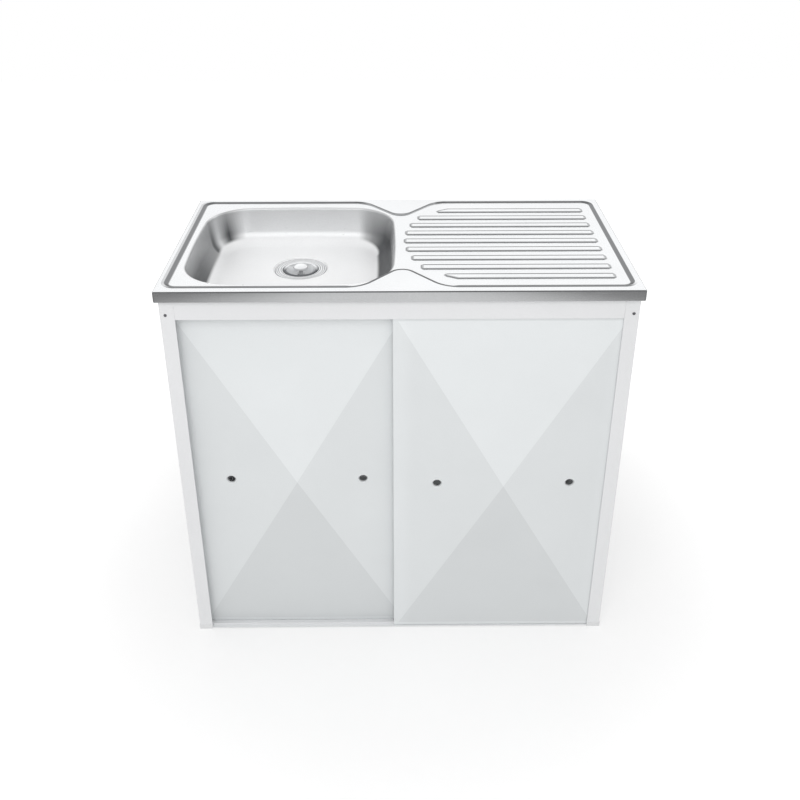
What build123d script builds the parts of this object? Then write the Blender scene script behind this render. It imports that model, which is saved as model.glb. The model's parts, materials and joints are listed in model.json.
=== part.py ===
"""Kitchen sink unit: a folded-sheet cupboard with two sliding doors under a pressed steel sink top.

Millimetres. Origin on the floor at the centre of the sink top's plan, +Z up, +X to the right of someone
who faces the doors, so the doors face -Y, the bowl is at -X and the drainer at +X.
"""
from build123d import *
import math
import os

# --- overall sizes -------------------------------------------------------------------------------
unit_height = 850.0         # floor to the sink's rim
cabinet_width = 900.0       # over the side panels
cabinet_depth = 464.0       # over the uprights and the rear flanges
sink_side_overhang = 7.0    # each side, so the top is 914 wide, a 36 inch class
sink_front_overhang = 8.0   # front and back, so the top is 480 deep

# --- sheets and general clearances ---------------------------------------------------------------
cabinet_sheet = 1.0         # coated steel sheet of the cupboard and the doors
sink_sheet = 1.0            # stainless sheet of the sink top
seat_gap = 0.2              # between folded pieces that slot in beside each other
screw_clearance = 0.15      # radial, round the frame screws

# --- cupboard ------------------------------------------------------------------------------------
upright_width = 28.0        # front face of each side panel
rear_flange = 20.0          # side panel's flange at the back
top_flange = 19.0           # flange that carries the sink
rail_flange = 20.0          # the same on the front and rear rails
lip_height = 12.0           # return lip under a top flange
lip_corner_gap = 50.0       # the side lips stop this far from the corners, for the gussets
rail_lip_corner_gap = 54.5  # the rails' lips stop this far from the corners
inside_bend = 0.6           # inside radius of the folds
fascia_height = 40.0        # seen between the skirt and the doors
fascia_hem = 8.0            # hem folded flat behind the fascia's lower edge
rail_tab = 17.0             # the front rail's end tab, under the upright's face
rail_tab_low_gap = 2.0      # end tab above the rail's lower edge
rear_rail_height = 74.0
wall_hole_spacing = 600.0   # wall-fixing holes in the rear rail
wall_hole_radius = 3.5
wall_hole_drop = 44.0       # below the rail's top
service_width, service_height = 500.0, 360.0   # cut-out in the back panel for the pipes
service_bottom = 220.0
service_corner = 20.0
floor_top = 12.0            # top of the cupboard's floor
gusset_leg = 48.0
gusset_sheet = 1.2
gusset_clearance = 1.0      # between the gusset plate and the end tabs below it
foot_height = 11.0          # plastic shoe round the foot of each corner
foot_wall = 1.0
foot_plate = 2.0            # thickness under the sheet
foot_length = 20.0          # front to back
screw_radius = 1.6
screw_head_radius = 3.0
screw_head_height = 1.6
screw_end = 0.4             # shank beyond the sheets
screw_inset = 11.0          # from the upright's outer edge
screw_drop = 48.0           # below the cupboard's top
buffer_thickness = 8.0      # rubber stops for the door ends
buffer_height = 20.0
buffer_setback = 1.0        # inside the faces of the two doors
buffer_bevel = 2.0
buffer_low_level = 100.0
buffer_top_drop = 100.0     # upper stops, below the doors' tops

# --- sink top ------------------------------------------------------------------------------------
skirt_height = 22.0
skirt_return = 5.0          # edge folded in under the skirt
deck_corner = 4.0
well_depth = 3.0            # the deck lies this far below the rim
groove_width = 9.0          # plan width of the sloped step round the deck
rim_side, rim_front, rim_back = 13.0, 22.0, 11.0
well_corner = 24.0
waist_half = 80.0           # the raised lands between bowl and drainer: half length of each
waist_x = 5.0
waist_reach = 92.0          # reach of the land's corner before it is rounded
waist_foot_radius, waist_tip_radius = 60.0, 28.0

bowl_gap_left = 13.0        # from the foot of the deck's slope to the bowl
bowl_gap_front = 9.0
bowl_gap_back = 24.0
bowl_waist_gap = 15.0       # from the middle of the lands to the bowl
bowl_bow = 8.0              # how far each side bows out at its middle
bowl_corner = 92.0
bowl_depth = 80.0
bowl_draft = 8.0            # degrees
bowl_floor_radius = 36.0
bowl_edge_radius = 5.0      # rolled edge into the deck
weld_margin = 2.0           # flat ring outside the rolled edge, where the bowl is welded in

rib_count = 9
rib_width = 21.0
rib_height = 1.8
rib_slope = 3.0             # plan width of a rib's sides
rib_corner = 5.0            # cut off each corner of a rib
rib_gap_right = 22.0        # from the foot of the deck's slope to the ribs' ends
rib_gap_back = 45.5         # from the foot of the slope to the first rib's middle
rib_gap_front = 39.5        # the same for the last rib
rib_waist_gap = 12.0        # from the middle of the lands to the middle rib's left end
rib_end_arc = 240.0         # the left ends lie on an arc of this radius
rib_taper = 32.0            # slanted left end of the first and last rib

stiffener_width, stiffener_height = 60.0, 19.0
stiffener_foot = 14.0
stiffener_sheet = 1.2
stiffener_end_gap = 7.0     # from its end to the rail's lip
clip_inset = 64.0           # clip's middle, from the cupboard's side
clip_width, clip_height, clip_foot, clip_sheet = 16.0, 20.0, 9.0, 1.5

# --- waste ---------------------------------------------------------------------------------------
waste_offset_x, waste_offset_y = 4.0, 46.0     # from the bowl's middle
waste_flange_radius = 56.0
waste_flange_sheet = 1.5
waste_flange_bevel = 5.0
waste_recess = 3.0          # pressed dish that takes the flange
waste_dish_gap = 2.0        # radial, between the flange and the dish's edge
waste_hole_gap = 2.5        # radial, between the body and the bowl's hole
waste_body_radius = 40.0
waste_wall = 1.2
waste_body_depth = 40.0
waste_body_bevel = 4.0
spigot_radius, spigot_wall, spigot_length = 24.0, 2.0, 22.0
gasket_thickness, washer_thickness, locknut_thickness = 2.5, 1.5, 10.0
gasket_margin, washer_margin, locknut_margin = 2.0, 4.0, 7.0     # inside the flange's edge
locknut_lug_length, locknut_lug_width, locknut_lugs = 6.0, 8.0, 6
ring_gap = 0.3              # radial, between the body's thread and the rings on it
tail_radius, tail_wall, tail_length = 20.0, 1.4, 60.0
tail_neck_radius, tail_neck_length = 21.0, 14.0
tail_nut_radius, tail_nut_height, tail_nut_floor = 29.0, 22.0, 3.0
tail_nut_sides = 8
basket_rise = 1.5           # basket's ring above the body's seat
basket_ring_radius = 36.8
basket_ring_lip = 3.0
basket_mouth_radius = 31.0
basket_foot_radius = 28.0
basket_sheet = 1.0
basket_cup_depth = 24.0
basket_slots = 10
basket_slot_start, basket_slot_end, basket_slot_width = 9.0, 24.0, 3.0
knob_rise = 8.0             # knob's top above the body's seat
knob_radius = 16.0
knob_cap_height, knob_rim, knob_bevel = 6.0, 2.0, 5.0
knob_stem = 4.0
stopper_radius = 28.0
stopper_bevel = 3.0
stopper_thickness = 5.0
stopper_floor = 1.0         # rubber under the stem's end
stopper_gap = 0.3           # under the stopper, above the body's floor

# --- sliding doors -------------------------------------------------------------------------------
door_overlap = 27.0         # of the two doors at the middle, when shut
door_cover = 12.0           # the doors reach this far up behind the fascia
door_bottom = 4.5
door_depth = 9.5            # folded edge, front to back
door_apron = 5.0            # the front skin reaches this far below the bottom fold
front_door_recess = 3.0     # behind the uprights' faces
rear_door_recess = 20.0
crease_rise = 6.0           # the cross-broken face stands out this far at its middle
crease_side_band = 10.0     # flat border beside the creased field
crease_low_band = 7.5
crease_top_band = 18.0
door_lip = 8.0              # folded-in lip at the back of the door
door_end_gap = 0.5          # between a door's end and its buffer
finger_hole_radius = 8.5
finger_roll = 3.0           # radius of the hole's rolled edge
finger_collar = 6.0
finger_offset = 137.0       # hole from the door's middle

# --- door tracks, rollers and guides -------------------------------------------------------------
sill_plate = 1.5
sill_margin = 6.5           # sill behind the rear door
track_rail_width = 1.6
track_rail_top = 8.0
top_track_rise = 16.0       # web above the fascia's lower edge
top_track_drop = 14.0
top_track_upstand = 16.0    # fixed to the back of the fascia
upstand_end_gap = 1.0       # from the upstand's end to the rail's tab
door_run_gap = 1.1          # rear door to the track's rear wall
track_wall_gap = 0.3        # guide to wall
roller_radius = 8.0
roller_groove = 1.8
roller_groove_gap = 0.35    # each side of the rail
roller_width = 4.4
roller_run_gap = 0.3        # groove to rail
roller_bore_gap = 0.06
axle_radius = 1.5
bracket_sheet = 0.8
bracket_length = 28.0
bracket_height = 20.0
bracket_corner = 4.0
bracket_seat_gap = 0.1
bracket_slot_margin = 1.0   # each end, the bracket beyond the slot in the door's fold
roller_inset = 50.0         # roller centre from the door's end
guide_length = 24.0
guide_head = 2.5
guide_corner = 3.0
guide_peg = 2.4
guide_peg_length = 8.0
guide_inset = 40.0

# --- places worked out from the sizes above ------------------------------------------------------
half_width = cabinet_width / 2
front_y = -cabinet_depth / 2
rear_y = cabinet_depth / 2
sink_width = cabinet_width + 2 * sink_side_overhang
sink_depth = cabinet_depth + 2 * sink_front_overhang
web_inner = half_width - cabinet_sheet
between_webs = web_inner - inside_bend - seat_gap     # half width of what fits between the panels
deck_z = unit_height - well_depth
cabinet_top = deck_z - sink_sheet
skirt_bottom = unit_height - skirt_height
fascia_bottom = skirt_bottom - fascia_height
screw_height = cabinet_top - screw_drop
upright_inner = half_width - upright_width
sheet_bottom = foot_plate
buffer_face = web_inner - buffer_thickness
clip_x = half_width - clip_inset
lip_y = front_y + rail_flange
front_door_y = front_y + front_door_recess
rear_door_y = front_y + rear_door_recess
door_end = buffer_face - door_end_gap
door_width = door_end + door_overlap / 2
door_centre = door_end - door_width / 2
door_top = fascia_bottom + door_cover
crease_low, crease_high = door_bottom + crease_low_band, door_top - crease_top_band
finger_height = (door_bottom + door_top) / 2
buffer_levels = (buffer_low_level, door_top - buffer_top_drop)
top_track_height = fascia_bottom + top_track_rise
roller_y = door_depth / 2
sill_rear = rear_door_y + door_depth + sill_margin
roller_z = track_rail_top + roller_run_gap + roller_radius - roller_groove
well_side = sink_width / 2 - rim_side
well_front = -sink_depth / 2 + rim_front
well_back = sink_depth / 2 - rim_back
bowl_left = -well_side + groove_width + bowl_gap_left
bowl_right = waist_x - bowl_waist_gap
bowl_front = well_front + groove_width + bowl_gap_front
bowl_back = well_back - groove_width - bowl_gap_back
bowl_x, bowl_half_x = (bowl_left + bowl_right) / 2, (bowl_right - bowl_left) / 2
bowl_y, bowl_half_y = (bowl_front + bowl_back) / 2, (bowl_back - bowl_front) / 2
rib_left = waist_x + rib_waist_gap
rib_right = well_side - groove_width - rib_gap_right
rib_first_y = well_back - groove_width - rib_gap_back
rib_last_y = well_front + groove_width + rib_gap_front
stiffener_x = (rib_left + rib_right) / 2
waste_x, waste_y = bowl_x + waste_offset_x, bowl_y + waste_offset_y
bowl_floor = deck_z - bowl_depth
waste_seat = bowl_floor - waste_recess
spigot_top = waste_seat - waste_body_depth
spigot_bottom = spigot_top - spigot_length
body_floor = spigot_top + waste_wall
basket_top = waste_seat + basket_rise
bowl_ring = bowl_edge_radius + weld_margin


# --- shared shapes -------------------------------------------------------------------------------
def block(x, y, z):
    """A box between two limits on each axis."""
    size = [high - low for low, high in (x, y, z)]
    middle = [(low + high) / 2 for low, high in (x, y, z)]
    return Pos(*middle) * Box(*size)


def inset(points, distance):
    """The closed polygon moved inward by a distance. Points run anticlockwise."""
    moved = []
    count = len(points)
    for i in range(count):
        before, here, after = (Vector(*points[(i + k) % count]) for k in (-1, 0, 1))
        to_here = (here - before).normalized()
        from_here = (after - here).normalized()
        normal = Vector(-to_here.Y, to_here.X)
        along = math.tan(to_here.get_signed_angle(from_here) * math.pi / 360)
        moved.append(here + (normal - to_here * along) * distance)
    return [(p.X, p.Y) for p in moved]


def rounded_face(points, radii):
    """A face inside a closed polygon with its own radius at each corner."""
    return make_face(FilletPolyline(*points, radius=radii, close=True))


def turned(*points):
    """A ring or cup turned about Z from (radius, height) points."""
    return revolve(Plane.XZ * make_face(Polyline(*points, close=True)), Axis.Z)


def mirrored_pair(shape, plane=Plane.YZ):
    """A piece and its mirror image, left and right unless told otherwise."""
    return [shape, mirror(shape, plane)]


def group(shapes):
    """Separate solids that share one file."""
    return Compound(children=[solid for shape in shapes for solid in shape.solids()])


def single(shape):
    """The one solid of a finished piece."""
    solids = shape.solids()
    assert len(solids) == 1, f"{len(solids)} solids"
    return solids[0]


# --- cupboard ------------------------------------------------------------------------------------
def screw_hole(radius, x, y, z):
    """A drill through a sheet that faces front or back."""
    return Pos(x, y, z) * Rot(90, 0, 0) * Cylinder(radius, 8 * cabinet_sheet)


def side_panel():
    """The left side: web, upright face, rear flange, and the top flange with its lip."""
    outer = [
        (-upright_inner, front_y), (-upright_inner, front_y + cabinet_sheet),
        (-web_inner, front_y + cabinet_sheet), (-web_inner, rear_y - cabinet_sheet),
        (-half_width + rear_flange, rear_y - cabinet_sheet), (-half_width + rear_flange, rear_y),
        (-half_width, rear_y), (-half_width, front_y),
    ]
    outside_bend = inside_bend + cabinet_sheet
    radii = [0, 0, inside_bend, inside_bend, 0, 0, outside_bend, outside_bend]
    section = Pos(0, 0, sheet_bottom) * rounded_face(outer, radii)
    panel = extrude(section, cabinet_top - sheet_bottom)
    flange_edge = -half_width + top_flange
    panel += block((-web_inner, flange_edge), (front_y + cabinet_sheet, rear_y - cabinet_sheet),
                   (cabinet_top - cabinet_sheet, cabinet_top))
    lip_end = cabinet_depth / 2 - lip_corner_gap
    panel += block((flange_edge - cabinet_sheet, flange_edge), (-lip_end, lip_end),
                   (cabinet_top - lip_height, cabinet_top))
    screw_x = -half_width + screw_inset
    for y in (front_y, rear_y):
        panel -= screw_hole(screw_radius + screw_clearance, screw_x, y, screw_height)
    return single(panel)


def rail(face_y, inward, width, height, tab_x):
    """A rail across the top: face, top flange with its lip, and end tabs one sheet further in."""
    half = width / 2
    flange_y = face_y + inward * rail_flange
    second = face_y + inward * cabinet_sheet
    third = face_y + inward * 2 * cabinet_sheet
    shape = block((-half, half), sorted((face_y, second)), (cabinet_top - height, cabinet_top))
    shape += block((-half, half), sorted((face_y, flange_y)), (cabinet_top - cabinet_sheet, cabinet_top))
    lip_half = half_width - rail_lip_corner_gap
    shape += block((-lip_half, lip_half), sorted((flange_y - inward * cabinet_sheet, flange_y)),
                   (cabinet_top - lip_height, cabinet_top))
    tab_top = cabinet_top - cabinet_sheet - gusset_sheet - gusset_clearance
    tab = block((half - rail_tab, tab_x), sorted((second, third)),
                (cabinet_top - height + rail_tab_low_gap, tab_top))
    for side in mirrored_pair(tab):
        shape += side
    for side in (-1, 1):
        shape -= screw_hole(screw_radius + screw_clearance, side * (half_width - screw_inset), third,
                            screw_height)
    return shape


def front_top_rail():
    height = cabinet_top - fascia_bottom
    width = 2 * (upright_inner - seat_gap)
    shape = rail(front_y, 1, width, height, web_inner - 2 * cabinet_sheet)
    shape += block((-width / 2, width / 2), (front_y + cabinet_sheet, front_y + 2 * cabinet_sheet),
                   (fascia_bottom, fascia_bottom + fascia_hem))
    return single(shape)


def rear_top_rail():
    width = 2 * (half_width - rear_flange - seat_gap)
    shape = rail(rear_y, -1, width, rear_rail_height, web_inner - 2 * cabinet_sheet)
    for side in (-1, 1):
        shape -= screw_hole(wall_hole_radius, side * wall_hole_spacing / 2, rear_y,
                            cabinet_top - wall_hole_drop)
    return single(shape)


def back_panel():
    """The lower back, behind the side panels' flanges, with a cut-out for the pipes."""
    half = between_webs
    top = cabinet_top - rear_rail_height - seat_gap
    y = (rear_y - 2 * cabinet_sheet, rear_y - cabinet_sheet)
    panel = block((-half, half), y, (sheet_bottom, top))
    corners = RectangleRounded(service_width, service_height, service_corner)
    middle = Pos(0, rear_y, service_bottom + service_height / 2)
    panel -= middle * Rot(90, 0, 0) * extrude(corners, 4 * cabinet_sheet, both=True)
    return single(panel)


def base_panel():
    """The cupboard's floor, folded down on all four sides."""
    half = between_webs
    rear = rear_y - 2 * cabinet_sheet - seat_gap
    pan = block((-half, half), (sill_rear, rear), (sheet_bottom, floor_top))
    hollow = block((-half + cabinet_sheet, half - cabinet_sheet),
                   (sill_rear + cabinet_sheet, rear - cabinet_sheet), (0, floor_top - cabinet_sheet))
    return single(pan - hollow)


def top_door_track():
    """Three walls that hang from a web behind the fascia; the fascia is the front door's front wall."""
    half = between_webs
    web_front = front_y + 2 * cabinet_sheet
    door_back = rear_door_y + door_depth
    rear_wall = (door_back + door_run_gap, door_back + door_run_gap + cabinet_sheet)
    middle_y = (front_door_y + door_depth + rear_door_y - cabinet_sheet) / 2
    middle_wall = (middle_y, middle_y + cabinet_sheet)
    track = block((-half, half), (web_front, rear_wall[1]),
                  (top_track_height, top_track_height + cabinet_sheet))
    for wall in (middle_wall, rear_wall):
        track += block((-half, half), wall, (top_track_height - top_track_drop, top_track_height))
    upstand_half = upright_inner - rail_tab - upstand_end_gap
    track += block((-upstand_half, upstand_half), (front_y + cabinet_sheet, web_front),
                   (top_track_height, top_track_height + top_track_upstand))
    return single(track), middle_wall, rear_wall


def bottom_door_track():
    """The sill between the uprights: a plate with one raised rail for each door's rollers."""
    half = between_webs
    plate = (sheet_bottom, sheet_bottom + sill_plate)
    sill = block((-half, half), (front_y + cabinet_sheet, sill_rear), plate)
    face_half = upright_inner - seat_gap
    sill += block((-face_half, face_half), (front_y, front_y + cabinet_sheet), plate)
    for door_y in (front_door_y, rear_door_y):
        middle = door_y + roller_y
        sill += block((-half, half), (middle - track_rail_width / 2, middle + track_rail_width / 2),
                      (sheet_bottom, track_rail_top))
    sill += block((-half, half), (sill_rear - cabinet_sheet, sill_rear),
                  (sheet_bottom, floor_top - cabinet_sheet))
    return single(sill)


def corner_gussets():
    """A triangular plate under the flanges of each top corner."""
    corner_x, corner_y = web_inner, front_y + 2 * cabinet_sheet
    outline = Polyline((corner_x, corner_y), (corner_x, corner_y + gusset_leg),
                       (corner_x - gusset_leg, corner_y), close=True)
    low = cabinet_top - cabinet_sheet - gusset_sheet
    plate = extrude(Pos(0, 0, low) * make_face(outline), gusset_sheet)
    front = mirrored_pair(plate)
    return group(front + [mirror(plate, Plane.XZ) for plate in front])


def foot_caps():
    """A plastic shoe outside each lower corner, with a plate that the sheet stands on."""
    outer_x, inner_x = half_width + foot_wall, upright_inner
    outer_y = front_y - foot_wall
    shoe = block((inner_x, outer_x), (outer_y, outer_y + foot_length), (0, foot_height))
    shoe -= block((0, half_width), (front_y, 0), (foot_plate, 2 * foot_height))
    shoe = fillet(shoe.edges().filter_by(Axis.Z).sort_by_distance((outer_x, outer_y, 0))[0], foot_wall)
    front = mirrored_pair(shoe)
    return group(front + [mirror(shoe, Plane.XZ) for shoe in front])


def frame_screws():
    """Screws that hold the rails' end tabs to the side panels."""
    tip = -2 * cabinet_sheet - screw_end
    screw = turned((0, tip), (screw_radius, tip), (screw_radius, 0), (screw_head_radius, 0),
                   (screw_head_radius, screw_head_height), (0, screw_head_height))
    front = Pos(half_width - screw_inset, front_y, screw_height) * Rot(90, 0, 0) * screw
    pair = mirrored_pair(front)
    return group(pair + [mirror(screw, Plane.XZ) for screw in pair])


def door_buffers():
    """Rubber stops on the side panels, across the paths of both doors."""
    y = (front_door_y + buffer_setback, rear_door_y + door_depth - buffer_setback)
    buffers = []
    for level in buffer_levels:
        pad = block((buffer_face, web_inner), y, (level - buffer_height / 2, level + buffer_height / 2))
        pad = chamfer(pad.edges().filter_by(Axis.Y).group_by(Axis.X)[0], buffer_bevel)
        buffers += mirrored_pair(pad)
    return group(buffers)


# --- sink top ------------------------------------------------------------------------------------
def well_outline():
    """Corners and radii of the sunken deck, with a raised land reaching in from front and back."""
    points = [
        (-well_side, well_front), (waist_x - waist_half, well_front),
        (waist_x, well_front + waist_reach), (waist_x + waist_half, well_front),
        (well_side, well_front), (well_side, well_back), (waist_x + waist_half, well_back),
        (waist_x, well_back - waist_reach), (waist_x - waist_half, well_back), (-well_side, well_back),
    ]
    half_radii = [well_corner, waist_foot_radius, waist_tip_radius, waist_foot_radius, well_corner]
    return points, half_radii * 2


def well_pocket():
    """The space pressed out of the deck, with sloped sides."""
    points, radii = well_outline()
    tips = (2, 7)
    inner_radii = [r + groove_width if i in tips else r - groove_width for i, r in enumerate(radii)]
    top = Pos(0, 0, unit_height) * rounded_face(points, radii)
    floor = Pos(0, 0, deck_z) * rounded_face(inset(points, groove_width), inner_radii)
    return loft([floor, top], ruled=True)


def cut_corners(points, length):
    """The closed polygon with a length cut off both sides of each corner."""
    cut = []
    count = len(points)
    for i in range(count):
        before, here, after = (Vector(*points[(i + k) % count]) for k in (-1, 0, 1))
        for neighbour in (before, after):
            corner = here + (neighbour - here).normalized() * length
            cut.append((corner.X, corner.Y))
    return cut


def rib_outline(index):
    """Corners of one drainer rib; the first and last have a slanted left end."""
    pitch = (rib_first_y - rib_last_y) / (rib_count - 1)
    y = rib_first_y - index * pitch
    reach = (index - (rib_count - 1) / 2) * pitch
    left = rib_left + rib_end_arc - math.sqrt(rib_end_arc ** 2 - reach ** 2)
    low, high = y - rib_width / 2, y + rib_width / 2
    left_low = left + (rib_taper if index == rib_count - 1 else 0)
    left_high = left + (rib_taper if index == 0 else 0)
    corners = [(left_low, low), (rib_right, low), (rib_right, high), (left_high, high)]
    return cut_corners(corners, rib_corner)


def drainer_rib(index):
    """A long raised pad with sloped sides."""
    points = rib_outline(index)
    base = Pos(0, 0, deck_z) * make_face(Polyline(*points, close=True))
    top = Pos(0, 0, deck_z + rib_height) * make_face(Polyline(*inset(points, rib_slope), close=True))
    return loft([base, top], ruled=True)


def bowl_outline(grow):
    """Plan of the bowl: four sides that bow outward, with rounded corners."""
    x, y = bowl_half_x + grow, bowl_half_y + grow
    corner_x, corner_y = x - bowl_bow, y - bowl_bow
    sides = [
        ThreePointArc((-corner_x, -corner_y), (0, -y), (corner_x, -corner_y)),
        ThreePointArc((corner_x, -corner_y), (x, 0), (corner_x, corner_y)),
        ThreePointArc((corner_x, corner_y), (0, y), (-corner_x, corner_y)),
        ThreePointArc((-corner_x, corner_y), (-x, 0), (-corner_x, -corner_y)),
    ]
    face = make_face(sides)
    return fillet(face.vertices(), bowl_corner + grow)


def sink_deck():
    """The pressed top: a block with its pressings, less the same block one sheet further in."""
    pocket = well_pocket()
    drop = Pos(0, 0, -sink_sheet)
    ribs = [drainer_rib(index) for index in range(rib_count)]
    half_x, half_y = sink_width / 2, sink_depth / 2
    top = block((-half_x, half_x), (-half_y, half_y), (skirt_bottom, unit_height))
    top = fillet(top.edges().filter_by(Axis.Z), deck_corner)
    top = chamfer(top.faces().sort_by(Axis.Z)[-1].edges(), sink_sheet)
    under_x, under_y = half_x - sink_sheet, half_y - sink_sheet
    under = block((-under_x, under_x), (-under_y, under_y),
                  (skirt_bottom + sink_sheet, unit_height - sink_sheet))
    under = fillet(under.edges().filter_by(Axis.Z), deck_corner - sink_sheet)
    mouth_x, mouth_y = half_x - skirt_return, half_y - skirt_return
    under += block((-mouth_x, mouth_x), (-mouth_y, mouth_y), (0, skirt_bottom + sink_sheet))
    top -= pocket
    under -= drop * pocket
    for rib in ribs:
        top += rib
        under += drop * rib
    hole = extrude(Pos(bowl_x, bowl_y, 0) * bowl_outline(bowl_ring), unit_height)
    return single(top - under - hole)


def bowl_form(grow):
    """A block with the bowl's cavity pressed in, whose top face is the bowl's surface."""
    top_z = deck_z - grow
    base = waste_seat - bowl_ring
    form = extrude(Pos(0, 0, base) * bowl_outline(bowl_ring), top_z - base)
    cavity = extrude(Pos(0, 0, top_z) * bowl_outline(grow), bowl_floor - deck_z, taper=bowl_draft)
    floor_edges = cavity.faces().sort_by(Axis.Z)[0].edges()
    cavity = fillet(floor_edges, bowl_floor_radius + grow)
    form -= cavity
    rim = form.faces().sort_by(Axis.Z)[-1].inner_wires()[0].edges()
    form = fillet(rim, bowl_edge_radius - grow)
    recess_radius = waste_flange_radius + waste_dish_gap + grow
    floor = bowl_floor - grow
    dish = Pos(waste_x - bowl_x, waste_y - bowl_y, floor - waste_recess / 2)
    form -= dish * Cylinder(recess_radius, waste_recess)
    return form


def sink_bowl():
    """The pressed bowl, from its weld ring down to the dish that takes the waste."""
    bowl = bowl_form(0) - bowl_form(sink_sheet)
    hole = Cylinder(waste_body_radius + waste_hole_gap, bowl_depth)
    bowl -= Pos(waste_x - bowl_x, waste_y - bowl_y, bowl_floor) * hole
    return single(Pos(bowl_x, bowl_y, 0) * bowl)


def drainer_stiffener():
    """A hat-section bar glued across the underside of the drainer."""
    top = cabinet_top
    low = top - stiffener_height
    half = stiffener_width / 2
    foot = half + stiffener_foot
    sheet = stiffener_sheet
    outline = Polyline(
        (-foot, top), (-half + sheet, top), (-half + sheet, low + sheet), (half - sheet, low + sheet),
        (half - sheet, top), (foot, top), (foot, top - sheet), (half, top - sheet), (half, low),
        (-half, low), (-half, top - sheet), (-foot, top - sheet), close=True)
    section = Plane.XZ * make_face(outline)
    half_length = -lip_y - stiffener_end_gap
    return single(Pos(stiffener_x, 0, 0) * extrude(section, half_length, both=True))


def sink_clips():
    """Angle clips under the deck, against the rails' lips."""
    x = (clip_x - clip_width / 2, clip_x + clip_width / 2)
    leg = block(x, (lip_y, lip_y + clip_sheet), (cabinet_top - clip_height, cabinet_top))
    foot = block(x, (lip_y, lip_y + clip_foot), (cabinet_top - clip_sheet, cabinet_top))
    front = mirrored_pair(leg + foot)
    return group(front + [mirror(clip, Plane.XZ) for clip in front])


# --- waste ---------------------------------------------------------------------------------------
at_waste = Pos(waste_x, waste_y, 0)


def waste_body():
    """Flanged strainer body with a threaded spigot."""
    body, bore = waste_body_radius, waste_body_radius - waste_wall
    flange_top = waste_seat + waste_flange_sheet
    spigot_bore = spigot_radius - spigot_wall
    ring = turned(
        (body, waste_seat), (waste_flange_radius, waste_seat),
        (waste_flange_radius - waste_flange_bevel, flange_top), (body, flange_top), (bore, waste_seat),
        (bore, body_floor), (spigot_bore, body_floor), (spigot_bore, spigot_bottom),
        (spigot_radius, spigot_bottom), (spigot_radius, spigot_top),
        (body - waste_body_bevel, spigot_top), (body, spigot_top + waste_body_bevel))
    return single(at_waste * ring)


def ring_on_body(margin, top, thickness):
    """A flat ring round the strainer body, under the bowl."""
    inner, outer = waste_body_radius + ring_gap, waste_flange_radius - margin
    return turned((inner, top), (outer, top), (outer, top - thickness), (inner, top - thickness))


def waste_rings():
    """Rubber gasket, fibre washer and locknut, down from the bowl's underside."""
    gasket_top = waste_seat - sink_sheet
    washer_top = gasket_top - gasket_thickness
    nut_top = washer_top - washer_thickness
    gasket = ring_on_body(gasket_margin, gasket_top, gasket_thickness)
    washer = ring_on_body(washer_margin, washer_top, washer_thickness)
    nut = ring_on_body(locknut_margin, nut_top, locknut_thickness)
    lug = Pos(waste_flange_radius - locknut_margin, 0, nut_top - locknut_thickness / 2)
    lug *= Box(locknut_lug_length, locknut_lug_width, locknut_thickness)
    for step in range(locknut_lugs):
        nut += Rot(0, 0, 360 / locknut_lugs * step) * lug
    return [single(at_waste * ring) for ring in (gasket, washer, nut)]


def tailpiece():
    """Flanged tube that hangs from the spigot, with a wider neck inside its nut."""
    top = spigot_bottom
    bore = tail_radius - tail_wall
    neck_end = top - tail_neck_length
    tube = turned(
        (bore, top), (spigot_radius, top), (spigot_radius, top - tail_wall),
        (tail_neck_radius, top - tail_wall), (tail_neck_radius, neck_end), (tail_radius, neck_end),
        (tail_radius, top - tail_length), (bore, top - tail_length))
    return single(at_waste * tube)


def tailpiece_nut():
    """Coupling nut that holds the tube's flange up to the spigot."""
    floor_top = spigot_bottom - tail_wall - ring_gap
    low = floor_top - tail_nut_floor
    flats = extrude(Pos(0, 0, low) * RegularPolygon(tail_nut_radius, tail_nut_sides), tail_nut_height)
    over_flange = extrude(Pos(0, 0, floor_top) * Circle(spigot_radius + ring_gap), tail_nut_height)
    round_tube = extrude(Pos(0, 0, low) * Circle(tail_neck_radius + ring_gap), tail_nut_floor)
    return single(at_waste * (flats - over_flange - round_tube))


def basket_cup():
    """Slotted cup that hangs from a turned-down ring at its mouth."""
    top, ring, sheet = basket_top, basket_ring_radius, basket_sheet
    mouth, foot = basket_mouth_radius, basket_foot_radius
    floor = top - basket_cup_depth
    shell = turned(
        (mouth, top), (ring, top), (ring, top - basket_ring_lip), (ring - sheet, top - basket_ring_lip),
        (ring - sheet, top - sheet), (mouth + sheet, top - sheet), (foot + sheet, floor),
        (knob_stem, floor), (knob_stem, floor + sheet), (foot, floor + sheet))
    slot = Pos((basket_slot_start + basket_slot_end) / 2, 0, floor)
    slot *= Box(basket_slot_end - basket_slot_start, basket_slot_width, 3 * sheet)
    for step in range(basket_slots):
        shell -= Rot(0, 0, 360 / basket_slots * step) * slot
    return single(at_waste * shell)


def basket_knob():
    """Pull knob and stem, through the cup's floor into the stopper."""
    top = waste_seat + knob_rise
    low = body_floor + stopper_gap + stopper_floor
    knob = turned(
        (0, low), (knob_stem, low), (knob_stem, top - knob_cap_height),
        (knob_radius, top - 2 * knob_rim), (knob_radius, top - knob_rim),
        (knob_radius - knob_bevel, top), (0, top))
    return single(at_waste * knob)


def basket_stopper():
    """Rubber disc on the stem's foot, above the spigot's mouth."""
    low = body_floor + stopper_gap
    top = low + stopper_thickness
    disc = turned(
        (0, low), (stopper_radius - stopper_bevel, low), (stopper_radius, low + stopper_bevel),
        (stopper_radius - stopper_bevel, top), (knob_stem, top), (knob_stem, low + stopper_floor),
        (0, low + stopper_floor))
    return single(at_waste * disc)


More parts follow.
